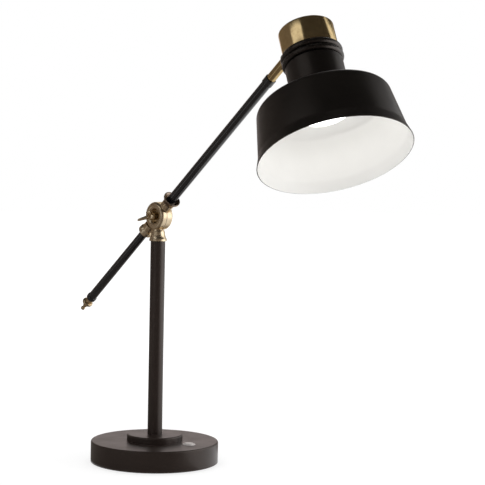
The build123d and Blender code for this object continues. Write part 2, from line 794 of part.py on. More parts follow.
# Shade: one spun shell from the flared lip to the inturned flange at the top of its neck
screw_circle = (neck_flange_radius + shade_neck_radius - shade_wall) / 2
with BuildPart() as shade:
    with BuildSketch(head_side):
        with BuildLine():
            FilletPolyline(
                (0, rim_radius),
                (lip_height, lip_radius),
                (shoulder_height, shoulder_radius),
                (crown_height, shade_neck_radius),
                (shade_neck_top, shade_neck_radius),
                (shade_neck_top, neck_flange_radius),
                radius=[lip_blend, shoulder_blend, crown_blend, neck_flange_blend],
            )
            offset(amount=shade_wall, side=Side.RIGHT)
        make_face()
    revolve(axis=head_axis)
    with BuildSketch(head_line.offset(shade_neck_top - shade_wall)):
        with PolarLocations(screw_circle, shade_screw_count, start_angle=shade_screw_angle):
            Circle(shade_screw_diameter / 2 + running_clearance)
    extrude(amount=shade_wall, mode=Mode.SUBTRACT)
save(shade, "shade")

# Black collar on the neck: two beads outside, a spigot for the cap above and the hinge lug behind
spigot_top = collar_top + collar_spigot_height
cap_bore_radius = cap_radius - cap_wall
lug_root_radius = lug_diameter / 3
lug_root_out = pin_offset - collar_radius
lug_root_up = shade_neck_top + collar_height * 3 / 4 - pin_height
with BuildPart() as neck_collar:
    with BuildSketch(head_side):
        with BuildLine():
            lower = ThreePointArc(
                (shade_neck_top, collar_groove_radius),
                (shade_neck_top + collar_height / 4, collar_radius),
                (shade_neck_top + collar_height / 2, collar_groove_radius),
            )
            upper = ThreePointArc(
                lower @ 1,
                (shade_neck_top + collar_height * 3 / 4, collar_radius),
                (collar_top, collar_groove_radius),
            )
            Polyline(
                upper @ 1,
                (collar_top, cap_bore_radius - slip_clearance),
                (spigot_top, cap_bore_radius - slip_clearance),
                (spigot_top, collar_bore_radius),
                (shade_neck_top, collar_bore_radius),
                lower @ 0,
            )
        make_face()
    revolve(axis=head_axis)
    with BuildSketch(hinge_side):
        Circle(lug_diameter / 2)
        with Locations((lug_root_out + lug_root_radius / 4, lug_root_up)):
            Circle(lug_root_radius)
        make_hull()
    extrude(amount=lug_thickness / 2, both=True)
    with BuildSketch(hinge_side):
        Circle(hinge_hole_radius)
    extrude(amount=lug_thickness, both=True, mode=Mode.SUBTRACT)
    with BuildSketch(head_line.offset(shade_neck_top)):
        with PolarLocations(screw_circle, shade_screw_count, start_angle=shade_screw_angle):
            Circle(shade_screw_diameter / 2 + running_clearance)
    extrude(amount=shade_screw_bite + body_gap, mode=Mode.SUBTRACT)
save(neck_collar, "neck_collar")

with BuildPart(head_line.offset(shade_neck_top - shade_wall)) as shade_screws:
    with PolarLocations(screw_circle, shade_screw_count, start_angle=shade_screw_angle):
        Cylinder(shade_screw_head / 2, shade_screw_head_height, align=falling)
        Cylinder(shade_screw_diameter / 2, shade_wall + shade_screw_bite, align=rising)
save(shade_screws, "shade_screws")

# Brass cap over the lampholder
with BuildPart() as cap:
    with BuildSketch(head_side):
        with BuildLine():
            side = Line((collar_top, cap_radius), (cap_top - cap_edge_radius, cap_radius))
            edge = CenterArc((cap_top - cap_edge_radius, cap_radius - cap_edge_radius),
                             cap_edge_radius, 90, -90)
            Polyline(
                edge @ 1,
                (cap_top, 0),
                (cap_top - cap_wall, 0),
                (cap_top - cap_wall, cap_bore_radius),
                (collar_top, cap_bore_radius),
                side @ 0,
            )
        make_face()
    revolve(axis=head_axis)
save(cap, "cap")

# Strap that carries the lampholder inside the cap
bridge_height = cap_top - cap_wall - strap_headroom
foot_tip = sqrt((cap_bore_radius - body_gap) ** 2 - (strap_width / 2) ** 2) - strap_thickness / 2
with BuildPart() as holder_strap:
    with BuildSketch(head_side):
        with BuildLine():
            Polyline(
                (spigot_top + strap_thickness / 2, foot_tip),
                (spigot_top + strap_thickness / 2, collar_bore_radius),
                (bridge_height - strap_thickness / 2, collar_bore_radius),
                (bridge_height - strap_thickness / 2, -collar_bore_radius),
                (spigot_top + strap_thickness / 2, -collar_bore_radius),
                (spigot_top + strap_thickness / 2, -foot_tip),
            )
            offset(amount=strap_thickness / 2, kind=Kind.INTERSECTION)
        make_face()
    extrude(amount=strap_width / 2, both=True)
    with BuildSketch(head_line.offset(bridge_height)):
        Circle(holder_nipple_diameter / 2 + running_clearance)
    extrude(amount=-strap_thickness, mode=Mode.SUBTRACT)
save(holder_strap, "holder_strap")

# Lampholder, and the nipple and nut that hang it from the strap
holder_top = bridge_height - strap_thickness
holder_mouth = holder_top - holder_height
holder_bore_radius = bulb_base_radius + bulb_base_clearance
with BuildPart(head_line.offset(holder_mouth)) as lampholder:
    Cylinder(holder_radius, holder_height, align=rising)
    fillet(lampholder.edges(), (holder_radius - holder_bore_radius) / 3)
    Cylinder(holder_bore_radius, holder_bore_depth, align=rising, mode=Mode.SUBTRACT)
    with Locations((0, 0, holder_height)):
        Cylinder(holder_nipple_diameter / 2 + slip_clearance, holder_nipple_bite, align=falling,
                 mode=Mode.SUBTRACT)
save(lampholder, "lampholder")

holder_nipple_length = holder_nut_height + strap_thickness + holder_nipple_bite
with BuildPart(head_line.offset(bridge_height + holder_nut_height)) as holder_nipple:
    Cylinder(holder_nipple_diameter / 2, holder_nipple_length, align=falling)
    Cylinder(nipple_bore / 2, holder_nipple_length, align=falling, mode=Mode.SUBTRACT)
save(holder_nipple, "holder_nipple")

with BuildPart() as holder_nut:
    with BuildSketch(head_line.offset(bridge_height)):
        RegularPolygon(holder_nut_flats / 2, 6, major_radius=False)
        Circle(holder_nipple_diameter / 2 + slip_clearance, mode=Mode.SUBTRACT)
    extrude(amount=holder_nut_height)
save(holder_nut, "holder_nut")

# Reflector bulb: flat opal face, tapered body and screw base
bulb_base_start = holder_mouth - body_gap
bulb_body_start = bulb_base_start - bulb_body_length
bulb_face_height = bulb_body_start - bulb_face_thickness
with BuildPart() as bulb_face:
    with BuildSketch(head_side):
        with BuildLine():
            front = Line((bulb_face_height, 0), (bulb_face_height, bulb_face_radius - bulb_face_edge))
            edge = CenterArc((bulb_face_height + bulb_face_edge, bulb_face_radius - bulb_face_edge),
                             bulb_face_edge, 180, -90)
            Polyline(edge @ 1, (bulb_body_start, bulb_face_radius), (bulb_body_start, 0), front @ 0)
        make_face()
    revolve(axis=head_axis)
save(bulb_face, "bulb_face")

with BuildPart() as bulb_body:
    with BuildSketch(head_side):
        with BuildLine():
            taper = ThreePointArc(
                (bulb_body_start, bulb_face_radius),
                (bulb_body_start + bulb_body_length / 3, (bulb_face_radius * 3 + bulb_waist_radius) / 4),
                (bulb_base_start, bulb_waist_radius),
            )
            Polyline(taper @ 1, (bulb_base_start, 0), (bulb_body_start, 0), taper @ 0)
        make_face()
    revolve(axis=head_axis)
save(bulb_body, "bulb_body")

with BuildPart(head_line.offset(bulb_base_start)) as bulb_base:
    Cylinder(bulb_base_radius, bulb_base_length, align=rising)
    with Locations((0, 0, bulb_base_length)):
        Cone(bulb_base_radius, bulb_base_radius / 3, bulb_base_length / 6, align=rising)
save(bulb_base, "bulb_base")
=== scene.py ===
"""Looks of the swing arm desk lamp: finishes, turned pieces, wing screw and studio, in metres."""
import json
from math import cos, radians, sin, tan, tau

import bmesh
import bpy
from bpy.props import FloatProperty, FloatVectorProperty, PointerProperty
from mathutils import Matrix, Quaternion, Vector


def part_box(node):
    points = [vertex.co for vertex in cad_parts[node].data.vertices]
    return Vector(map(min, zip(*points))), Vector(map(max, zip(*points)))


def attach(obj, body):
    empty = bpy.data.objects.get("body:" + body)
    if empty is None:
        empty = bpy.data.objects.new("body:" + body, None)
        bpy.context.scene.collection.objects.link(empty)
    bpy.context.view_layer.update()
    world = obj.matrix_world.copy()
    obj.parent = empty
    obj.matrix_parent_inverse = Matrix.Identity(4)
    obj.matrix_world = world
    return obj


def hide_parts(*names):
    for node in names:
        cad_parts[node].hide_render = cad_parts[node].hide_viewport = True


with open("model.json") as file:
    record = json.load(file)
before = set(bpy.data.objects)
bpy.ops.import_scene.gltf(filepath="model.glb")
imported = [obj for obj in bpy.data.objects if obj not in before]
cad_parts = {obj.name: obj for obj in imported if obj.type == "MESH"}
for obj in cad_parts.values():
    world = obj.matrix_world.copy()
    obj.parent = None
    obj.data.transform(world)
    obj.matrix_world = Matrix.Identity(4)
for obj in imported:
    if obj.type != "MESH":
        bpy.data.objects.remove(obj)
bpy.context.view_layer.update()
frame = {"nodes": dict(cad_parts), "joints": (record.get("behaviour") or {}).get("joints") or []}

bl_info = {
    "name": "Swing Arm Desk Lamp",
    "version": (1, 0, 0),
    "blender": (4, 5, 0),
    "location": "View3D > Sidebar > Lamp",
    "description": "Dresses the packed desk lamp with its finishes, turned pieces and studio",
    "category": "Object",
}

mm = 0.001
ROUND_STEPS = 6
SPIN_STEPS = 144
SMALL_SPIN_STEPS = 72
WELD = 0.001 * mm
# Turns between faces at which an edge is sharp, is fully worn, and is a rim of the wing screw
SHARP_ANGLE = radians(32)
FULL_WEAR_TURN = radians(30)
RIM_ANGLE = radians(60)
# Roughness of the brass, and of the black lacquer on the shade and the collar
POLISHED, SATIN = 0.15, 0.3
SHADE_ROUGHNESS, COLLAR_ROUGHNESS = 0.35, 0.26


def linear(hex_colour):
    """Turns an sRGB hex value to linear red, green and blue."""
    channels = [int(hex_colour[i:i + 2], 16) / 255 for i in (1, 3, 5)]
    return tuple(c / 12.92 if c <= 0.04045 else ((c + 0.055) / 1.055) ** 2.4 for c in channels)


# Axes of the lamp, read from its joints

def axis_place(origin, way, across):
    """Matrix that carries local Z onto way and local X towards across, at origin."""
    along = way.normalized()
    side = (across - across.dot(along) * along).normalized()
    return Matrix.Translation(origin) @ Matrix((side, along.cross(side), along)).transposed().to_4x4()


joints = {joint["name"]: joint for joint in frame["joints"]}
knuckle = Vector(joints["arm_tilt"]["pos_m"])
pivot_way = Vector(joints["arm_tilt"]["axis"])
arm_way = Vector(joints["head_roll"]["axis"])
pin = Vector(joints["shade_tilt"]["pos_m"])
pin_way = Vector(joints["shade_tilt"]["axis"])
# The shade's lean from the arm at rest, and the hinge pin's place from the middle of its rim
shade_from_arm = radians(79.4)
pin_offset = 40.5 * mm
pin_height = 151.5 * mm
shade_up = Matrix.Rotation(-shade_from_arm, 3, pin_way) @ arm_way
shade_out = pin_way.cross(shade_up)
rim_centre = pin + shade_out * pin_offset - shade_up * pin_height

upright = Matrix.Identity(4)
arm_line = axis_place(knuckle, arm_way, pivot_way)
rod_line = axis_place(knuckle, -arm_way, pivot_way)
pivot_line = axis_place(knuckle, -pivot_way, Vector((1, 0, 0)))
head_line = axis_place(rim_centre, shade_up, shade_out)
wing_turn = radians(31)
wing_line = pivot_line @ Matrix.Rotation(wing_turn, 4, "Z")


def span(node, place):
    """Lowest and highest point of a solid along the Z axis of place, and its largest radius about it."""
    back = place.inverted()
    points = [back @ vertex.co for vertex in frame["nodes"][node].data.vertices]
    heights = [point.z for point in points]
    return min(heights), max(heights), max(point.xy.length for point in points)


def middle(node):
    """Centre of a node's box at rest."""
    low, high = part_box(node)
    return (Vector(low) + Vector(high)) / 2


button_middle = middle("push_button")
button_line = axis_place(Vector((button_middle.x, button_middle.y, 0)), Vector((0, 0, 1)), Vector((1, 0, 0)))
gland_middle = middle("cord_gland")
gland_line = axis_place(gland_middle, Vector((-1, 0, 0)), Vector((0, 1, 0)))


# Sizes and colours that a user would change

def length(name, description, default):
    """A length in metres."""
    return FloatProperty(name=name, description=description, default=default, unit="LENGTH", precision=5)


def angle(name, description, default):
    """An angle, given in degrees."""
    return FloatProperty(name=name, description=description, default=radians(default), unit="ROTATION")


def colour(name, description, default):
    """A colour, given as an sRGB hex value."""
    return FloatVectorProperty(name=name, description=description, default=linear(default), subtype="COLOR",
                               size=3, min=0.0, max=1.0)


class LampColours(bpy.types.PropertyGroup):
    """Colours of the finishes."""
    base_coat: colour("Base coat", "Bronze-black powder coat of the base and post", "#251e1b")
    base_fleck: colour("Base fleck", "Lighter grains of the powder coat", "#332825")
    arm_enamel: colour("Arm enamel", "Gloss black of the arm tubes", "#0c0c0e")
    shade_coat: colour("Shade coat", "Matte black of the shade's outside", "#0a0908")
    shade_inside: colour("Shade inside", "Warm white of the shade's inside", "#f5f4f2")
    brass_bright: colour("Bright brass", "Rubbed antique brass", "#c6af82")
    brass_aged: colour("Aged brass", "Browned antique brass", "#a2885d")
    knuckle_bright: colour("Bright knuckle", "Rubbed paler brass of the knuckle, lower cup and small parts",
                           "#d9cab0")
    knuckle_aged: colour("Aged knuckle", "Browned paler brass", "#bba584")
    bronze_bright: colour("Bright bronze", "Rubbed dark bronze of the upper cup", "#9a8a7c")
    bronze_aged: colour("Aged bronze", "Blackened dark bronze", "#64554b")
    # Dark patina of the brass, also used to paint shade into its hollows
    brass_patina_and_shade: colour("Brass patina", "Dark patina in the corners of the brass", "#33261a")
    button_face: colour("Button", "Satin silver of the push button", "#e9e4e2")
    bulb_glow: colour("Bulb", "Opal face of the bulb", "#fffefb")
    floor: colour("Floor", "White paper sweep under the lamp", "#f3f3f2")


class LampSizes(bpy.types.PropertyGroup):
    """Sizes of the modelled pieces that the frame doesn't give."""
    shade_wall: length("Shade wall", "Thickness of the spun shade", 1.0 * mm)
    cup_wall: length("Cup wall", "Thickness of the brass cups at their mouths", 1.3 * mm)
    wing_root: length("Wing root", "Thickness of the wing screw's wings at their roots", 5.0 * mm)
    wing_tip: length("Wing tip", "Thickness of the wing screw's wings at their tips", 1.0 * mm)
    button_dish: length("Button dish", "Depth of the hollow in the button's top", 0.1 * mm)
    bezel_seat: length("Bezel seat", "Height of the base top that the bezel sits on",
                       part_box("base_shell")[1][2])


class LampStage(bpy.types.PropertyGroup):
    """Place of the camera about the lamp's own axes."""
    azimuth: angle("Azimuth", "Direction of the camera about the post", 52.0)
    distance: length("Distance", "Level distance from the post to the camera", 1912.34 * mm)
    height: length("Height", "Height of the camera above the desk", 379.68 * mm)
    yaw: angle("Yaw", "Turn of the camera towards its right", 3.27)
    pitch: angle("Pitch", "Tilt of the camera, upwards is positive", -2.78)
    roll: angle("Roll", "Roll of the camera", 1.12)
    lens: FloatProperty(name="Lens", description="Focal length for a 36 mm sensor", default=109.95,
                        unit="CAMERA")


# Shapes

def lined(outline, closed):
    """A line of edges through (height, radius, rounding) points, with its corners rounded."""
    shape = bmesh.new()
    corners = [shape.verts.new((radius, 0, height)) for height, radius, _ in outline]
    points = [corner.co.copy() for corner in corners]
    for first, second in zip(corners, corners[1:]):
        shape.edges.new((first, second))
    if closed:
        shape.edges.new((corners[-1], corners[0]))
    round_corners(shape, corners, points, [rounding for _, _, rounding in outline])
    return shape


def turned(outline, place, steps=SPIN_STEPS):
    """Spins an outline of (height, radius, rounding) points about the Z axis of place.

    The outline is closed unless it starts and ends on the axis.
    """
    shape = lined(outline, closed=outline[0][1] > 0 or outline[-1][1] > 0)
    sweep(shape, place, steps)
    return shape


def round_corners(shape, corners, points, roundings):
    """Rounds each corner of a line of edges with an arc of its own radius."""
    for i, rounding in enumerate(roundings):
        if rounding:
            arriving = points[i] - points[i - 1]
            leaving = points[(i + 1) % len(points)] - points[i]
            cut = rounding * tan(arriving.angle(leaving) / 2)
            bmesh.ops.bevel(shape, geom=[corners[i]], offset=cut, offset_type="OFFSET", affect="VERTICES",
                            segments=ROUND_STEPS, profile=0.5, material=-1)


def sweep(shape, place, steps):
    """Spins a line of edges all round the Z axis and carries the shape to its place."""
    bmesh.ops.spin(shape, geom=shape.verts[:] + shape.edges[:], cent=(0, 0, 0), axis=(0, 0, 1), angle=tau,
                   steps=steps, use_merge=True)
    bmesh.ops.remove_doubles(shape, verts=shape.verts[:], dist=WELD)
    bmesh.ops.recalc_face_normals(shape, faces=shape.faces[:])
    bmesh.ops.transform(shape, matrix=place, verts=shape.verts[:])


def joined(first, *others):
    """Gathers several shapes into the first."""
    for other in others:
        carrier = bpy.data.meshes.new("joining")
        other.to_mesh(carrier)
        other.free()
        first.from_mesh(carrier)
        bpy.data.meshes.remove(carrier)
    return first


def add_piece(shape, name, body, slot, materials, *replaced):
    """Makes a shape a piece that rides a body and stands for solids, and notes the wear of its edges."""
    shape.normal_update()
    wear = shape.verts.layers.float.new("edge_wear")
    for edge in shape.edges:
        edge.smooth = edge.calc_face_angle(0.0) < SHARP_ANGLE
    for face in shape.faces:
        face.smooth = True
    for vertex in shape.verts:
        turn = sum(edge.calc_face_angle_signed(0.0) for edge in vertex.link_edges)
        vertex[wear] = max(-1.0, min(1.0, turn / FULL_WEAR_TURN))
    mesh = bpy.data.meshes.new(name)
    shape.to_mesh(mesh)
    shape.free()
    for material in materials:
        mesh.materials.append(material)
    piece = bpy.data.objects.new(name, mesh)
    bpy.context.scene.collection.objects.link(piece)
    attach(piece, body)
    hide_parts(*replaced)


def finish_nodes(material, *nodes):
    """Gives solids that keep their own shape a better material."""
    for node in nodes:
        for place in frame["nodes"][node].material_slots:
            place.material = material


# Finishes

def add_node(tree, kind, inputs=None, **settings):
    """Adds a node, sets its properties, and sets or links its inputs."""
    made = tree.nodes.new(kind)
    for name, value in settings.items():
        setattr(made, name, value)
    for socket, value in (inputs or {}).items():
        if isinstance(value, bpy.types.NodeSocket):
            tree.links.new(value, made.inputs[socket])
        else:
            made.inputs[socket].default_value = value
    return made


def start_material(name, **values):
    """A new material, its nodes and its shader, whose sockets get these values."""
    material = bpy.data.materials.new(name)
    material.use_nodes = True
    shader = material.node_tree.nodes["Principled BSDF"]
    for socket, value in values.items():
        shader.inputs[socket.replace("_", " ")].default_value = value
    return material, material.node_tree, shader


def link_shader(tree, shader, tone, rough, bump):
    """Links the nodes of a material's tone, roughness and bump to its shader."""
    tree.links.new(tone.outputs["Result"], shader.inputs["Base Color"])
    tree.links.new(rough.outputs["Result"], shader.inputs["Roughness"])
    tree.links.new(bump.outputs["Normal"], shader.inputs["Normal"])


def local_mm(tree, place=upright):
    """Coordinates in millimetres along the axes of place."""
    coords = add_node(tree, "ShaderNodeTexCoord")
    local = add_node(tree, "ShaderNodeMapping", {
        "Vector": coords.outputs["Object"], "Location": place.translation,
        "Rotation": place.to_euler(), "Scale": (mm, mm, mm)}, vector_type="TEXTURE")
    return local.outputs["Vector"]


def rgba(three):
    """A colour with full alpha."""
    return (*three, 1.0)


def powder_coated_steel(name):
    """Steel, powder coated bronze-black: a soft sheen over a fine orange-peel grain, with browner flecks."""
    colours = bpy.context.scene.lamp_colours
    material, tree, shader = start_material(name, Specular_IOR_Level=0.46,
                                            Specular_Tint=(1.0, 0.88, 0.82, 1.0))
    local = local_mm(tree)
    # Powder grains are about 0.2 mm wide, and are drawn at 1.1 mm so that they show
    grains = add_node(tree, "ShaderNodeTexNoise", {"Vector": local, "Scale": 1 / 1.1, "Detail": 2.0})
    # The coat's tone drifts over about 30 mm
    drift = add_node(tree, "ShaderNodeTexNoise", {"Vector": local, "Scale": 1 / 30, "Detail": 3.0})
    flecks = add_node(tree, "ShaderNodeMapRange", {
        "Value": grains.outputs["Fac"], "From Min": 0.48, "From Max": 0.72, "To Max": 0.75})
    tone = add_node(tree, "ShaderNodeMix", {
        "Factor": flecks.outputs["Result"], "A": rgba(colours.base_coat), "B": rgba(colours.base_fleck)},
        data_type="RGBA")
    rough = add_node(tree, "ShaderNodeMapRange", {
        "Value": drift.outputs["Fac"], "From Min": 0.3, "From Max": 0.7, "To Min": 0.28, "To Max": 0.36})
    bump = add_node(tree, "ShaderNodeBump", {
        "Height": grains.outputs["Fac"], "Strength": 0.25, "Distance": 0.05 * mm})
    link_shader(tree, shader, tone, rough, bump)
    return material


def gloss_enamel(name, place):
    """Steel tube in stoved black enamel: a near-mirror black, slightly wavy and a little dulled by dust."""
    colours = bpy.context.scene.lamp_colours
    material, tree, shader = start_material(name, Specular_IOR_Level=0.5, Coat_Weight=0.35,
                                            Coat_Roughness=0.1)
    local = local_mm(tree, place)
    # Stoved enamel's waves are about 1.5 mm, and are drawn at 3 mm
    waves = add_node(tree, "ShaderNodeTexNoise", {"Vector": local, "Scale": 1 / 3, "Detail": 1.0})
    dulling = add_node(tree, "ShaderNodeTexNoise", {"Vector": local, "Scale": 1 / 14, "Detail": 4.0})
    tone = add_node(tree, "ShaderNodeMix", {
        "Factor": dulling.outputs["Fac"], "A": rgba(colours.arm_enamel),
        "B": rgba([c * 2.0 for c in colours.arm_enamel])}, data_type="RGBA")
    rough = add_node(tree, "ShaderNodeMapRange", {
        "Value": dulling.outputs["Fac"], "From Min": 0.3, "From Max": 0.7, "To Min": 0.13, "To Max": 0.21})
    bump = add_node(tree, "ShaderNodeBump", {
        "Height": waves.outputs["Fac"], "Strength": 0.1, "Distance": 0.03 * mm})
    link_shader(tree, shader, tone, rough, bump)
    return material


def matte_shade_coat(name, place, roughness):
    """Aluminium in black lacquer: deep black, soft sheen, faint rings left by the forming tool."""
    colours = bpy.context.scene.lamp_colours
    material, tree, shader = start_material(name, Specular_IOR_Level=0.45,
                                            Specular_Tint=(1.0, 0.86, 0.78, 1.0))
    local = local_mm(tree, place)
    height = add_node(tree, "ShaderNodeSeparateXYZ", {"Vector": local})
    # Spinning rings are about 0.5 mm apart, and are drawn at 2 mm
    rings = add_node(tree, "ShaderNodeTexNoise", {
        "W": height.outputs["Z"], "Scale": 1 / 2, "Detail": 2.0}, noise_dimensions="1D")
    drift = add_node(tree, "ShaderNodeTexNoise", {"Vector": local, "Scale": 1 / 22, "Detail": 5.0})
    tone = add_node(tree, "ShaderNodeMix", {
        "Factor": drift.outputs["Fac"], "A": rgba([c * 0.8 for c in colours.shade_coat]),
        "B": rgba([c * 1.3 for c in colours.shade_coat])}, data_type="RGBA")
    rough = add_node(tree, "ShaderNodeMapRange", {
        "Value": drift.outputs["Fac"], "From Min": 0.3, "From Max": 0.7,
        "To Min": roughness - 0.04, "To Max": roughness + 0.04})
    bump = add_node(tree, "ShaderNodeBump", {
        "Height": rings.outputs["Fac"], "Strength": 0.15, "Distance": 0.04 * mm})
    link_shader(tree, shader, tone, rough, bump)
    return material


def white_enamel(name, place):
    """White stoved enamel of the reflector: warm white, satin, faintly uneven where it was sprayed."""
    colours = bpy.context.scene.lamp_colours
    material, tree, shader = start_material(name, Specular_IOR_Level=0.4)
    local = local_mm(tree, place)
    spray = add_node(tree, "ShaderNodeTexNoise", {"Vector": local, "Scale": 1 / 18, "Detail": 3.0})
    # Orange peel is about 1 mm, and is drawn at 2 mm
    peel = add_node(tree, "ShaderNodeTexNoise", {"Vector": local, "Scale": 1 / 2, "Detail": 1.0})
    tone = add_node(tree, "ShaderNodeMix", {
        "Factor": spray.outputs["Fac"], "A": rgba(colours.shade_inside),
        "B": rgba([c * 0.97 for c in colours.shade_inside])}, data_type="RGBA")
    rough = add_node(tree, "ShaderNodeMapRange", {
        "Value": spray.outputs["Fac"], "From Min": 0.3, "From Max": 0.7, "To Min": 0.38, "To Max": 0.48})
    bump = add_node(tree, "ShaderNodeBump", {
        "Height": peel.outputs["Fac"], "Strength": 0.1, "Distance": 0.03 * mm})
    link_shader(tree, shader, tone, rough, bump)
    return material


def antique_brass(name, place, browning, rubbed_tone, aged_tone, roughness):
    """Turned brass or bronze, browned, rubbed and lacquered: lathe lines, brown clouds, bright edges, hollows
    darkened by patina and painted shade.
    """
    colours = bpy.context.scene.lamp_colours
    material, tree, shader = start_material(name, Metallic=1.0, Specular_Tint=(0.88, 0.78, 0.6, 1.0),
                                            Coat_Weight=0.2, Coat_Roughness=0.15)
    local = local_mm(tree, place)
    # Clouds of browning are about 6 mm wide
    clouds = add_node(tree, "ShaderNodeTexNoise", {
        "Vector": local, "Scale": 1 / 6, "Detail": 5.0, "Roughness": 0.6})
    across = add_node(tree, "ShaderNodeVectorMath", {0: local, 1: (1.0, 1.0, 0.0)}, operation="MULTIPLY")
    radius = add_node(tree, "ShaderNodeVectorMath", {0: across.outputs["Vector"]}, operation="LENGTH")
    height = add_node(tree, "ShaderNodeSeparateXYZ", {"Vector": local})
    ringed = add_node(tree, "ShaderNodeCombineXYZ", {
        "X": radius.outputs["Value"], "Y": height.outputs["Z"]})
    # A lathe's feed lines are about 0.1 mm apart, and are drawn at 0.7 mm
    lathe = add_node(tree, "ShaderNodeTexNoise", {
        "Vector": ringed.outputs["Vector"], "Scale": 1 / 0.7, "Detail": 2.0}, noise_dimensions="2D")
    wear = add_node(tree, "ShaderNodeAttribute", attribute_name="edge_wear")
    cloudy = add_node(tree, "ShaderNodeMapRange", {
        "Value": clouds.outputs["Fac"], "From Min": 0.35, "From Max": 0.68,
        "To Min": browning - 0.2, "To Max": browning + 0.25})
    rubbed = add_node(tree, "ShaderNodeMapRange", {
        "Value": wear.outputs["Fac"], "From Min": 0.25, "From Max": 0.9, "To Max": 0.6})
    browned = add_node(tree, "ShaderNodeMath", {
        0: cloudy.outputs["Result"], 1: rubbed.outputs["Result"]}, operation="SUBTRACT", use_clamp=True)
    gold = add_node(tree, "ShaderNodeMix", {
        "Factor": browned.outputs["Value"], "A": rgba(rubbed_tone), "B": rgba(aged_tone)},
        data_type="RGBA")
    # Polish doesn't reach into corners and hollows under about 5 mm, so the patina stays there; the darkening
    # by occlusion also paints in the shade that falls into these hollows
    hollow = add_node(tree, "ShaderNodeAmbientOcclusion", {"Distance": 5 * mm}, only_local=True, samples=8)
    painted_hollow_shade = add_node(tree, "ShaderNodeMapRange", {
        "Value": hollow.outputs["AO"], "From Min": 0.6, "From Max": 0.2, "To Max": 0.6})
    creased = add_node(tree, "ShaderNodeMapRange", {
        "Value": wear.outputs["Fac"], "From Min": -0.15, "From Max": -0.9, "To Max": 0.6})
    # Patina in inward creases, and painted shade in hollows, both pull the brass towards the dark patina
    # colour
    patina_and_painted_shade = add_node(tree, "ShaderNodeMath", {
        0: painted_hollow_shade.outputs["Result"], 1: creased.outputs["Result"]}, operation="MAXIMUM")
    tone = add_node(tree, "ShaderNodeMix", {
        "Factor": patina_and_painted_shade.outputs["Value"], "A": gold.outputs["Result"], "B": rgba(colours.brass_patina_and_shade)},
        data_type="RGBA")
    rough = add_node(tree, "ShaderNodeMapRange", {
        "Value": clouds.outputs["Fac"], "From Min": 0.3, "From Max": 0.7,
        "To Min": roughness - 0.04, "To Max": roughness + 0.04})
    bump = add_node(tree, "ShaderNodeBump", {
        "Height": lathe.outputs["Fac"], "Strength": 0.12, "Distance": 0.03 * mm})
    link_shader(tree, shader, tone, rough, bump)
    return material


def satin_nickel(name, place):
    """Nickel-plated brass, blasted satin: pale silver with fine pits and a rubbed middle."""
    colours = bpy.context.scene.lamp_colours
    material, tree, shader = start_material(name, Metallic=0.7)
    local = local_mm(tree, place)
    # Blasting pits are under 0.1 mm, and are drawn at 0.6 mm
    pits = add_node(tree, "ShaderNodeTexNoise", {"Vector": local, "Scale": 1 / 0.6, "Detail": 2.0})
    rubbing = add_node(tree, "ShaderNodeTexNoise", {"Vector": local, "Scale": 1 / 5, "Detail": 3.0})
    tone = add_node(tree, "ShaderNodeMix", {
        "Factor": rubbing.outputs["Fac"], "A": rgba(colours.button_face),
        "B": rgba([c * 0.85 for c in colours.button_face])}, data_type="RGBA")
    rough = add_node(tree, "ShaderNodeMapRange", {
        "Value": rubbing.outputs["Fac"], "From Min": 0.3, "From Max": 0.7, "To Min": 0.46, "To Max": 0.56})
    bump = add_node(tree, "ShaderNodeBump", {
        "Height": pits.outputs["Fac"], "Strength": 0.15, "Distance": 0.02 * mm})
    link_shader(tree, shader, tone, rough, bump)
    return material


def mottled(name, light, dark, size, roughness, bump_depth, **values):
    """A material of two close tones in grains of this size in millimetres, with a bump of this depth."""
    material, tree, shader = start_material(name, **values)
    local = local_mm(tree)
    grains = add_node(tree, "ShaderNodeTexNoise", {"Vector": local, "Scale": 1 / size, "Detail": 4.0})
    blotches = add_node(tree, "ShaderNodeMapRange", {
        "Value": grains.outputs["Fac"], "From Min": 0.35, "From Max": 0.65})
    tone = add_node(tree, "ShaderNodeMix", {
        "Factor": blotches.outputs["Result"], "A": rgba(linear(dark)), "B": rgba(linear(light))},
        data_type="RGBA")
    rough = add_node(tree, "ShaderNodeMapRange", {
        "Value": grains.outputs["Fac"], "From Min": 0.3, "From Max": 0.7,
        "To Min": roughness - 0.06, "To Max": roughness + 0.06})
    bump = add_node(tree, "ShaderNodeBump", {
        "Height": grains.outputs["Fac"], "Strength": 0.4, "Distance": bump_depth})
    link_shader(tree, shader, tone, rough, bump)
    return material


def lit_opal(name, place):
    """Opal face of a lit bulb: milk white, evenly bright over the middle and dimmer at its rim."""
    colours = bpy.context.scene.lamp_colours
    material, tree, shader = start_material(
        name, Base_Color=rgba(colours.bulb_glow), Roughness=0.35, Emission_Color=rgba(colours.bulb_glow))
    local = local_mm(tree, place)
    across = add_node(tree, "ShaderNodeVectorMath", {0: local, 1: (1.0, 1.0, 0.0)}, operation="MULTIPLY")
    radius = add_node(tree, "ShaderNodeVectorMath", {0: across.outputs["Vector"]}, operation="LENGTH")
    glow = add_node(tree, "ShaderNodeMapRange", {
        "Value": radius.outputs["Value"], "From Min": 24.0, "From Max": 32.0, "To Min": 4.9, "To Max": 2.8},
        interpolation_type="SMOOTHSTEP")
    tree.links.new(glow.outputs["Result"], shader.inputs["Emission Strength"])
    return material


# Pieces

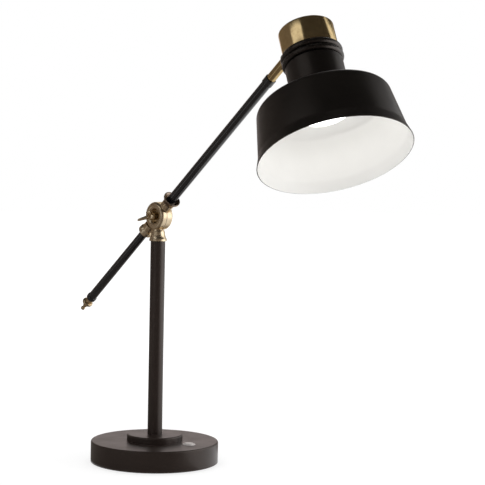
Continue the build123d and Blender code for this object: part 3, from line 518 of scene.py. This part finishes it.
class LAMP_OT_base(bpy.types.Operator):
    """Dresses the base, the post and the hidden hardware, and makes the rubber gland"""
    bl_idname = "lamp.base"
    bl_label = "Base"

    def execute(self, context):
        finish_nodes(powder_coated_steel("powder_coated_steel"), "base_shell", "base_step", "post_tube")
        # Grey sand-cast iron: a rough, pitted skin
        finish_nodes(mottled("cast_iron", "#4b4a49", "#33312f", 1.5, 0.75, 0.2 * mm, Metallic=0.6),
                     "base_weight")
        # Zinc-plated steel: cool grey spangle with a soft shine
        finish_nodes(mottled("zinc_plated_steel", "#b9bcc0", "#9da1a6", 4.0, 0.32, 0.01 * mm, Metallic=1.0),
                     "base_plate", "plate_screws", "post_washer", "post_nut", "post_nipple", "post_plug",
                     "switch_nut", "retaining_ring", "pivot_nut", "holder_strap", "holder_nipple",
                     "holder_nut", "shade_screws")
        # Black closed-cell foam: open pores about 1 mm wide and no shine
        finish_nodes(mottled("black_foam", "#2c2b2a", "#141312", 1.0, 0.92, 0.4 * mm), "foot_pad")
        # Moulded black phenolic and ABS: a spark-eroded, slightly grey skin
        plastic = mottled("moulded_black_abs", "#1d1c1c", "#121111", 0.8, 0.45, 0.02 * mm)
        finish_nodes(plastic, "terminal_block", "switch_body", "lampholder", "swivel_bush")
        # Natural nylon: milky and waxy
        finish_nodes(mottled("natural_nylon", "#d8d3c6", "#c9c3b4", 3.0, 0.4, 0.01 * mm), "friction_washer")
        # Black moulded rubber: dull, with a fine matte skin
        rubber = mottled("moulded_black_rubber", "#232221", "#171615", 0.8, 0.7, 0.03 * mm)
        low, high, flange = span("cord_gland", gland_line)
        bore = 3.0 * mm
        body = 4.95 * mm
        lip = 1.6 * mm
        step = high - 0.8 * mm
        add_piece(turned(((low, bore, 0.3 * mm), (low, flange, 0.4 * mm), (low + lip, flange, 0.4 * mm),
                          (low + lip, body, 0), (high - lip, body, 0), (high - lip, flange, 0.3 * mm),
                          (step, flange, 0.3 * mm), (step, flange - 1.0 * mm, 0.2 * mm),
                          (high, flange - 1.6 * mm, 0.5 * mm), (high, bore, 0.5 * mm)),
                         gland_line, SMALL_SPIN_STEPS),
                  "rubber_gland", "base", "rubber", [rubber], "cord_gland")
        return {"FINISHED"}


class LAMP_OT_button(bpy.types.Operator):
    """Makes the push button with its dished top, and the bezel round it"""
    bl_idname = "lamp.button"
    bl_label = "Push Button"

    def execute(self, context):
        silver = satin_nickel("satin_nickel", button_line)
        dish = context.scene.lamp_sizes.button_dish
        low, high, radius = span("push_button", button_line)
        hollow = radius - 2.4 * mm
        crown = radius - 0.9 * mm
        shoulder = high - 0.7 * mm
        add_piece(turned(((high - dish, 0, 0), (high - dish, hollow, 3.0 * mm), (high, crown, 0.8 * mm),
                          (shoulder, radius, 0.6 * mm), (low, radius, 0.2 * mm), (low, 0, 0)),
                         button_line, SMALL_SPIN_STEPS),
                  "button_cap", "button", "button_silver", [silver], "push_button")
        bore = radius + 0.05 * mm
        body = bore + 0.75 * mm
        low, high, flange = span("button_bezel", button_line)
        face = flange - 0.9 * mm
        seat = context.scene.lamp_sizes.bezel_seat
        edge = seat + 0.4 * mm
        add_piece(turned(((low, bore, 0), (low, body, 0.2 * mm), (seat, body, 0), (seat, flange, 0.1 * mm),
                          (edge, flange, 0.35 * mm), (high, face, 0.35 * mm), (high, bore, 0.25 * mm)),
                         button_line, SMALL_SPIN_STEPS),
                  "bezel_ring", "base", "button_silver", [silver], "button_bezel")
        return {"FINISHED"}


class LAMP_OT_knuckle(bpy.types.Operator):
    """Dresses the two drums of the knuckle and makes the wing screw that clamps them"""
    bl_idname = "lamp.knuckle"
    bl_label = "Knuckle and Wing Screw"

    def execute(self, context):
        colours = context.scene.lamp_colours
        finish_nodes(antique_brass("antique_brass_drum", pivot_line, 0.5, colours.knuckle_bright,
                                   colours.knuckle_aged, SATIN), "arm_knuckle", "post_knuckle")
        low, high, _ = span("wing_screw", pivot_line)
        seat = 1.95 * mm
        shank = 2.96 * mm
        hub = 5.0 * mm
        hub_top = seat + 14.0 * mm
        screw = turned(((low, 0, 0), (low, shank, 0.4 * mm), (seat, shank, 0), (seat, hub, 0.3 * mm),
                        (hub_top, hub, 1.2 * mm), (hub_top, 0, 0)), pivot_line, SMALL_SPIN_STEPS)
        sizes = context.scene.lamp_sizes
        wings = [wing_blade(side, high, sizes.wing_root, sizes.wing_tip) for side in (1, -1)]
        brass = antique_brass("antique_brass_wing", pivot_line, 0.8, colours.knuckle_bright,
                              colours.knuckle_aged, SATIN)
        add_piece(joined(screw, *wings), "wing_screw_blades", "wing", "brass", [brass], "wing_screw")
        return {"FINISHED"}


def wing_blade(side, high, root, tip):
    """One wing of the wing screw: a wedge that leans out from the hub, thinned and rounded to its tip."""
    blade = bmesh.new()
    foot = 11.3 * mm
    half_width = 2.8 * mm
    reach = 13.0 * mm
    tip_rounding = 0.98 * half_width
    rim_rounding = 0.4 * mm
    lean = Vector((reach - half_width, high - half_width - foot)).normalized()
    across = Vector((lean.y, -lean.x)) * half_width
    start = Vector((0, foot))
    end = Vector((reach - half_width, high - half_width)) + lean * half_width
    outline = (start + across, end + across, end - across, start - across)
    corners = [blade.verts.new((side * point.x, 0, point.y)) for point in outline]
    points = [corner.co.copy() for corner in corners]
    for i, corner in enumerate(corners):
        blade.edges.new((corner, corners[(i + 1) % len(corners)]))
    round_corners(blade, corners, points, (0, tip_rounding, tip_rounding, 0))
    filled = bmesh.ops.contextual_create(blade, geom=blade.verts[:] + blade.edges[:])
    extruded = bmesh.ops.extrude_face_region(blade, geom=filled["faces"] + blade.edges[:])
    raised = [item for item in extruded["geom"] if isinstance(item, bmesh.types.BMVert)]
    bmesh.ops.translate(blade, verts=raised, vec=(0, root, 0))
    bmesh.ops.translate(blade, verts=blade.verts[:], vec=(0, -root / 2, 0))
    for vertex in blade.verts:
        vertex.co.y *= 1 + (tip / root - 1) * min(1.0, abs(vertex.co.x) / reach)
    bmesh.ops.recalc_face_normals(blade, faces=blade.faces[:])
    rims = [edge for edge in blade.edges if edge.calc_face_angle(0.0) > RIM_ANGLE]
    bmesh.ops.bevel(blade, geom=rims, offset=rim_rounding, offset_type="OFFSET", affect="EDGES",
                    segments=3, profile=0.5, material=-1)
    bmesh.ops.transform(blade, matrix=wing_line, verts=blade.verts[:])
    return blade


class LAMP_OT_arm(bpy.types.Operator):
    """Makes the two brass cups, and dresses the arm tube, its sleeve, the tail rod and its finial"""
    bl_idname = "lamp.arm"
    bl_label = "Arm"

    def execute(self, context):
        wall = context.scene.lamp_sizes.cup_wall
        colours = context.scene.lamp_colours
        enamel = gloss_enamel("gloss_black_enamel", arm_line)
        finish_nodes(enamel, "upper_arm", "lower_rod")
        foot, mouth, radius = span("upper_cup", arm_line)
        _, _, tube = span("upper_arm", arm_line)
        bore = tube + 0.04 * mm
        root = 7.8 * mm
        waist = foot + 2.6 * mm
        belly = mouth - 2.2 * mm
        floor = mouth - 3.1 * mm
        bronze = antique_brass("dark_bronze_cup", arm_line, 0.6, colours.bronze_bright, colours.bronze_aged,
                               SATIN)
        add_piece(turned(((foot, bore, 0), (foot, root, 0.3 * mm), (waist, root, 5 * mm),
                          (belly, radius - 0.3 * mm, 1.6 * mm), (mouth, radius, 0.5 * mm),
                          (mouth, radius - wall, 0.5 * mm), (floor, root - 0.5 * mm, 1.2 * mm),
                          (floor, bore, 0)), arm_line, SMALL_SPIN_STEPS),
                  "upper_cup_turned", "arm", "brass", [bronze], "upper_cup")
        foot, mouth, radius = span("lower_cup", rod_line)
        bore = 5.94 * mm
        root = 8.5 * mm
        bead = foot + 2.2 * mm
        lip = mouth - 0.8 * mm
        floor = mouth - 5.0 * mm
        brass = antique_brass("antique_brass_bell_cup", rod_line, 0.5, colours.knuckle_bright,
                              colours.knuckle_aged, SATIN)
        add_piece(turned(((foot, bore, 0), (foot, root - 0.6 * mm, 0), (bead, root + 0.9 * mm, 2.5 * mm),
                          (lip, radius, 6 * mm), (mouth, radius, 0.4 * mm), (mouth, radius - wall, 0.5 * mm),
                          (floor, root - wall, 1.2 * mm), (floor, bore, 0)), rod_line, SMALL_SPIN_STEPS),
                  "lower_cup_turned", "arm", "brass", [brass], "lower_cup")
        finish_nodes(antique_brass("antique_brass_finial", rod_line, 0.8, colours.knuckle_bright,
                                   colours.knuckle_aged, SATIN), "finial")
        finish_nodes(enamel, "arm_sleeve", "end_ring")
        return {"FINISHED"}


class LAMP_OT_fork(bpy.types.Operator):
    """Dresses the forked ferrule and its hinge screw and nut"""
    bl_idname = "lamp.fork"
    bl_label = "Fork"

    def execute(self, context):
        colours = context.scene.lamp_colours
        finish_nodes(antique_brass("antique_brass_fork", arm_line, 0.55, colours.brass_bright,
                                   colours.brass_aged, POLISHED), "ferrule")
        # Steel screw, oil blackened: dark grey with a dull shine
        finish_nodes(mottled("blackened_steel", "#4a4744", "#2e2c2a", 1.5, 0.35, 0.01 * mm, Metallic=1.0),
                     "hinge_screw", "hinge_nut")
        return {"FINISHED"}


class LAMP_OT_shade(bpy.types.Operator):
    """Makes the spun shade, matte black outside and white inside"""
    bl_idname = "lamp.shade"
    bl_label = "Shade"

    def execute(self, context):
        wall = context.scene.lamp_sizes.shade_wall
        _, top, rim = span("shade", head_line)
        neck = 33.5 * mm
        flange = neck - 8.0 * mm
        lip = (12.5 * mm, 84.8 * mm, 24 * mm)
        shoulder = (65.3 * mm, 76.6 * mm, 6 * mm)
        crown = (79.3 * mm, neck, 12 * mm)
        shell = lined(((0, rim, 0), lip, shoulder, crown, (top, neck, 1.8 * mm), (top, flange, 0)),
                      closed=False)
        sweep(shell, head_line, SPIN_STEPS)
        outside = shell.faces[:]
        shell.normal_update()
        from_rim = outside[0].calc_center_median() - rim_centre
        away = from_rim - from_rim.dot(shade_up) * shade_up
        if outside[0].normal.dot(away) < 0:
            bmesh.ops.reverse_faces(shell, faces=outside)
        thick = bmesh.ops.solidify(shell, geom=outside, thickness=wall)
        for item in thick["geom"]:
            if isinstance(item, bmesh.types.BMFace):
                item.material_index = 1
        coat = matte_shade_coat("matte_black_lacquer", head_line, SHADE_ROUGHNESS)
        inside = white_enamel("white_enamel", head_line)
        add_piece(shell, "spun_shade", "head", "shade_black", [coat, inside], "shade")
        return {"FINISHED"}


class LAMP_OT_neck(bpy.types.Operator):
    """Makes the turned cap over the lampholder, and dresses the beaded collar"""
    bl_idname = "lamp.neck"
    bl_label = "Neck"

    def execute(self, context):
        colours = context.scene.lamp_colours
        low, high, radius = span("cap", head_line)
        wall = 1.5 * mm
        bore = radius - wall
        ceiling = high - wall
        brass = antique_brass("antique_brass_cap", head_line, 0.45, colours.brass_bright, colours.brass_aged,
                              POLISHED)
        add_piece(turned(((high, 0, 0), (high, radius, 1.2 * mm), (low, radius, 0.4 * mm), (low, bore, 0),
                          (ceiling, bore, 0), (ceiling, 0, 0)), head_line),
                  "turned_cap", "head", "brass", [brass], "cap")
        finish_nodes(matte_shade_coat("satin_black_collar", head_line, COLLAR_ROUGHNESS), "neck_collar")
        return {"FINISHED"}


class LAMP_OT_bulb(bpy.types.Operator):
    """Dresses the reflector bulb with its lit opal face"""
    bl_idname = "lamp.bulb"
    bl_label = "Bulb"

    def execute(self, context):
        finish_nodes(lit_opal("lit_opal_glass", head_line), "bulb_face")
        # White moulded polycarbonate: even, faintly translucent and satin
        finish_nodes(mottled("white_polycarbonate", "#f0eeea", "#e4e1db", 5.0, 0.4, 0.01 * mm), "bulb_body")
        # Nickel-plated brass screw cap: pale metal with a soft shine
        finish_nodes(mottled("plated_screw_cap", "#c9c4b8", "#aca69a", 3.0, 0.3, 0.01 * mm, Metallic=1.0),
                     "bulb_base")
        return {"FINISHED"}


# Studio, in metres and in degrees from the camera's azimuth

FLOOR_HALF = 9.0
SCREEN_STEPS = 48
# Points that screens share, as radius about the post and height
CANOPY_FOOT, CANOPY_BROW = (2.6, 1.5), (1.7, 2.6)
CANOPY_LEAN = (CANOPY_FOOT[0] - CANOPY_BROW[0]) / (CANOPY_BROW[1] - CANOPY_FOOT[1])
BASE_SIDE, DESK_EDGE = (0.084, 0.002), (1.15, 0.002)
# Name, material, sector and profile of each screen
SCREENS = (
    ("dark_canopy", "drape", (-175, 103), (CANOPY_FOOT, CANOPY_BROW)),
    ("dark_ceiling", "drape", (-180, 180), (CANOPY_BROW, (0.2, 3.1))),
    ("desk_cloth", "spread", (-175, 45), (BASE_SIDE, DESK_EDGE)),
    ("grey_walls", "cloth", (-162, 45), (DESK_EDGE, (2.6, 0.002), CANOPY_FOOT)),
    ("grey_brow", "cloth", (-175, -80), ((2.58, 1.5), (2.19, 1.97))),
    ("side_cloth", "cloth", (142, 165), ((2.7, 0.01), (2.7, 1.9))),
    ("foot_cloth", "cloth", (118, 185), (BASE_SIDE, (0.4, 0.002))),
    ("white_card", "card", (-62, -26), ((2.4, 0.01), (2.4, 1.2))),
    ("white_strip", "card", (-98, -58), ((0.7, 0.004), (1.15, 0.004))),
    ("back_card", "back", (165, 212), ((2.7, 0.01), (2.7, 1.2))),
)
# Start, end and lower edge of the canopy's steps on the right: the shade mirrors the cloth above an edge,
# and the cap mirrors the backlit card that hangs under it
WING_STEPS = ((103, 108, 2.34), (108, 113, 2.14), (113, 118, 1.94),
              (118, 124, 1.77), (124, 131, 1.6), (131, 142, 1.42))
FIN_END = 124
FIN_DROP = 0.6
FIN_RADIUS = 2.62
# Name, azimuth, distance, height, size, power, roll, and whether the lamp mirrors it
SOFTBOXES = (
    ("softbox_left", -57, 1.42, 1.56, (1.36, 0.42), 2.0, 34, True),
    ("softbox_right", 80, 1.6, 0.5, (1.5, 1.2), 7.8, 0, True),
    ("softbox_above", 180, 0.35, 2.1, (1.5, 1.5), 17.0, 0, False),
)
LIGHT_AIM = Vector((0.12, 0, 0.4))


class LAMP_OT_stage(bpy.types.Operator):
    """Sets the white floor, the screens, the soft lights and the camera round the lamp"""
    bl_idname = "lamp.stage"
    bl_label = "Stage"

    def execute(self, context):
        scene = context.scene
        stage = scene.lamp_stage
        scene.view_settings.view_transform = "Standard"
        add_world(scene)
        add_floor(scene)
        add_screens(scene, stage.azimuth)
        for name, turn, distance, height, size, power, roll, mirrored in SOFTBOXES:
            add_softbox(scene, name, stage.azimuth + radians(turn), distance, height, size, power,
                        radians(roll), mirrored)
        add_camera(scene, stage)
        return {"FINISHED"}


def background_share(tree):
    """1 for rays that see the background straight, mirrored or through glass, and 0 for other rays."""
    path = add_node(tree, "ShaderNodeLightPath")
    mirrored = add_node(tree, "ShaderNodeMath", {
        0: path.outputs["Is Camera Ray"], 1: path.outputs["Is Glossy Ray"]}, operation="MAXIMUM")
    seen = add_node(tree, "ShaderNodeMath", {
        0: mirrored.outputs["Value"], 1: path.outputs["Is Transmission Ray"]}, operation="MAXIMUM")
    return seen.outputs["Value"]


def add_world(scene):
    """White all round for what is seen, and a plain half strength for what it lights."""
    world = bpy.data.worlds.new("white_studio")
    world.use_nodes = True
    tree = world.node_tree
    strength = add_node(tree, "ShaderNodeMapRange", {
        "Value": background_share(tree), "To Min": 0.5, "To Max": 1.0})
    tree.nodes["Background"].inputs["Color"].default_value = (1, 1, 1, 1)
    tree.links.new(strength.outputs["Result"], tree.nodes["Background"].inputs["Strength"])
    scene.world = world


def add_floor(scene):
    """A wide white paper floor that stays white to the camera and keeps the lamp's shadow."""
    shape = bmesh.new()
    bmesh.ops.create_grid(shape, x_segments=8, y_segments=8, size=FLOOR_HALF)
    mesh = bpy.data.meshes.new("paper_floor")
    shape.to_mesh(mesh)
    shape.free()
    floor = bpy.data.objects.new("paper_floor", mesh)
    scene.collection.objects.link(floor)
    material = bpy.data.materials.new("white_paper")
    material.use_nodes = True
    tree = material.node_tree
    tree.nodes.remove(tree.nodes["Principled BSDF"])
    # Matte paper with fibres about 3 mm long, too faint to show at this distance
    coords = add_node(tree, "ShaderNodeTexCoord")
    fibres = add_node(tree, "ShaderNodeTexNoise", {
        "Vector": coords.outputs["Object"], "Scale": 1 / (3 * mm), "Detail": 2.0})
    tone = add_node(tree, "ShaderNodeMix", {
        "Factor": fibres.outputs["Fac"], "A": rgba(scene.lamp_colours.floor),
        "B": rgba([c * 0.97 for c in scene.lamp_colours.floor])}, data_type="RGBA")
    paper = add_node(tree, "ShaderNodeBsdfDiffuse", {"Color": tone.outputs["Result"]})
    # The paper glows less about the lamp, where the light from above makes up for it and the shadow shows
    from_lamp = add_node(tree, "ShaderNodeVectorMath", {0: coords.outputs["Object"]}, operation="LENGTH")
    whiteness = add_node(tree, "ShaderNodeMapRange", {
        "Value": from_lamp.outputs["Value"], "From Min": 0.3, "From Max": 1.2, "To Min": 0.72, "To Max": 1.0})
    glow = add_node(tree, "ShaderNodeEmission", {
        "Color": (1, 1, 1, 1), "Strength": whiteness.outputs["Result"]})
    faint = add_node(tree, "ShaderNodeBsdfDiffuse", {"Color": (0.35, 0.35, 0.35, 1.0)})
    lit = add_node(tree, "ShaderNodeAddShader", {0: glow.outputs["Emission"], 1: faint.outputs["BSDF"]})
    shown = add_node(tree, "ShaderNodeMixShader", {
        "Fac": background_share(tree), 1: paper.outputs["BSDF"], 2: lit.outputs["Shader"]})
    tree.links.new(shown.outputs["Shader"], tree.nodes["Material Output"].inputs["Surface"])
    mesh.materials.append(material)


def add_screens(scene, azimuth):
    """The cloths and cards that give the brass and the black coats their dark and bright bands."""
    materials = {
        # Charcoal cloth over the camera: a matte weave drawn at 40 mm
        "drape": mottled("charcoal_cloth", "#5c5752", "#4e4945", 40.0, 0.9, 0.1 * mm),
        # White card with a lamp behind it: smooth, matte and glowing
        "fin": mottled("backlit_card", "#f2f1ef", "#ebeae8", 30.0, 0.8, 0.01 * mm,
                       Emission_Color=rgba(linear("#ffffff")), Emission_Strength=0.8),
        # Dark grey cloth on the desk: the same weave, a little paler
        "spread": mottled("dark_grey_cloth", "#8d847d", "#7d746d", 40.0, 0.9, 0.1 * mm),
        # Warm grey cloth round the desk and beside the base: the same weave, paler
        "cloth": mottled("grey_cloth", "#a2978f", "#92877f", 40.0, 0.9, 0.1 * mm),
        # White card on the left, and a strip of it on the desk: smooth and matte
        "card": mottled("white_card", "#f2f1ef", "#ebeae8", 30.0, 0.8, 0.01 * mm),
        # Warm grey card behind the desk: smooth, matte and faintly glowing
        "back": mottled("warm_grey_card", "#dccfcb", "#d4c7c3", 30.0, 0.8, 0.01 * mm,
                        Emission_Color=rgba(linear("#e0cdc9")), Emission_Strength=0.3),
    }
    for name, material, sector, profile in SCREENS:
        add_screen(scene, name, azimuth, sector, profile, materials[material])
    for step, (start, stop, height) in enumerate(WING_STEPS):
        edge = (CANOPY_FOOT[0] - (height - CANOPY_FOOT[1]) * CANOPY_LEAN, height)
        add_screen(scene, f"dark_wing_{step}", azimuth, (start, stop), (edge, CANOPY_BROW),
                   materials["drape"])
        if stop <= FIN_END:
            add_screen(scene, f"bright_fin_{step}", azimuth, (start, stop),
                       ((FIN_RADIUS, height - FIN_DROP), edge), materials["fin"])


def add_screen(scene, name, azimuth, sector, profile, material):
    """A round screen over a sector about the camera's azimuth, seen only in what the lamp mirrors."""
    shape = bmesh.new()
    start, end = (radians(side) for side in sector)
    corners = [shape.verts.new((0, -radius, height)) for radius, height in profile]
    for first, second in zip(corners, corners[1:]):
        shape.edges.new((first, second))
    bmesh.ops.rotate(shape, verts=shape.verts[:], matrix=Matrix.Rotation(azimuth + start, 3, "Z"))
    bmesh.ops.spin(shape, geom=shape.verts[:] + shape.edges[:], cent=(0, 0, 0), axis=(0, 0, 1),
                   angle=end - start, steps=SCREEN_STEPS)
    mesh = bpy.data.meshes.new(name)
    shape.to_mesh(mesh)
    shape.free()
    mesh.materials.append(material)
    screen = bpy.data.objects.new(name, mesh)
    scene.collection.objects.link(screen)
    screen.visible_camera = False
    screen.visible_diffuse = False
    screen.visible_shadow = False


def add_softbox(scene, name, azimuth, distance, height, size, power, roll, mirrored):
    """A soft rectangular light at an azimuth about the post, which looks at the lamp."""
    lamp = bpy.data.lights.new(name, "AREA")
    lamp.shape = "RECTANGLE"
    lamp.size, lamp.size_y = size
    lamp.energy = power
    box = bpy.data.objects.new(name, lamp)
    box.location = (distance * sin(azimuth), -distance * cos(azimuth), height)
    aim = LIGHT_AIM - box.location
    box.rotation_euler = (aim.to_track_quat("-Z", "Y") @ Quaternion((0, 0, 1), roll)).to_euler()
    box.visible_glossy = mirrored
    scene.collection.objects.link(box)


def swung(first, second, by):
    """Two vectors at right angles, the first swung by an angle towards the second."""
    return cos(by) * first + sin(by) * second, cos(by) * second - sin(by) * first


def add_camera(scene, stage):
    """The camera at the photograph's place, turned by yaw, pitch and roll from looking level at the post."""
    ahead = Vector((-sin(stage.azimuth), cos(stage.azimuth), 0))
    right = Vector((cos(stage.azimuth), sin(stage.azimuth), 0))
    up = Vector((0, 0, 1))
    ahead, right = swung(ahead, right, stage.yaw)
    ahead, up = swung(ahead, up, stage.pitch)
    right, up = swung(right, up, stage.roll)
    lens = bpy.data.cameras.new("view")
    lens.lens = stage.lens
    lens.sensor_width = 36.0
    lens.clip_start = 0.05
    camera = bpy.data.objects.new("view", lens)
    place = Vector((stage.distance * sin(stage.azimuth), -stage.distance * cos(stage.azimuth), stage.height))
    camera.matrix_world = Matrix.Translation(place) @ Matrix((right, up, -ahead)).transposed().to_4x4()
    scene.collection.objects.link(camera)
    scene.camera = camera


class LAMP_PT_sidebar(bpy.types.Panel):
    """Lists the lamp's pieces, and its sizes and colours"""
    bl_idname = "LAMP_PT_sidebar"
    bl_label = "Desk Lamp"
    bl_space_type = "VIEW_3D"
    bl_region_type = "UI"
    bl_category = "Lamp"

    def draw(self, context):
        for operator in OPERATORS:
            self.layout.operator(operator.bl_idname)
        for group in (context.scene.lamp_sizes, context.scene.lamp_colours, context.scene.lamp_stage):
            box = self.layout.box()
            for name in group.__annotations__:
                box.prop(group, name)


OPERATORS = (LAMP_OT_base, LAMP_OT_button, LAMP_OT_knuckle, LAMP_OT_arm, LAMP_OT_fork, LAMP_OT_shade,
             LAMP_OT_neck, LAMP_OT_bulb, LAMP_OT_stage)
CLASSES = (LampColours, LampSizes, LampStage, *OPERATORS, LAMP_PT_sidebar)


def register():
    for kind in CLASSES:
        bpy.utils.register_class(kind)
    bpy.types.Scene.lamp_colours = PointerProperty(type=LampColours)
    bpy.types.Scene.lamp_sizes = PointerProperty(type=LampSizes)
    bpy.types.Scene.lamp_stage = PointerProperty(type=LampStage)


def unregister():
    del bpy.types.Scene.lamp_stage
    del bpy.types.Scene.lamp_sizes
    del bpy.types.Scene.lamp_colours
    for kind in reversed(CLASSES):
        bpy.utils.unregister_class(kind)


def main():
    """Registers the add-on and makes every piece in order."""
    register()
    bpy.ops.lamp.stage()
    bpy.ops.lamp.base()
    bpy.ops.lamp.button()
    bpy.ops.lamp.knuckle()
    bpy.ops.lamp.arm()
    bpy.ops.lamp.fork()
    bpy.ops.lamp.shade()
    bpy.ops.lamp.neck()
    bpy.ops.lamp.bulb()


if __name__ == "__main__":
    main()
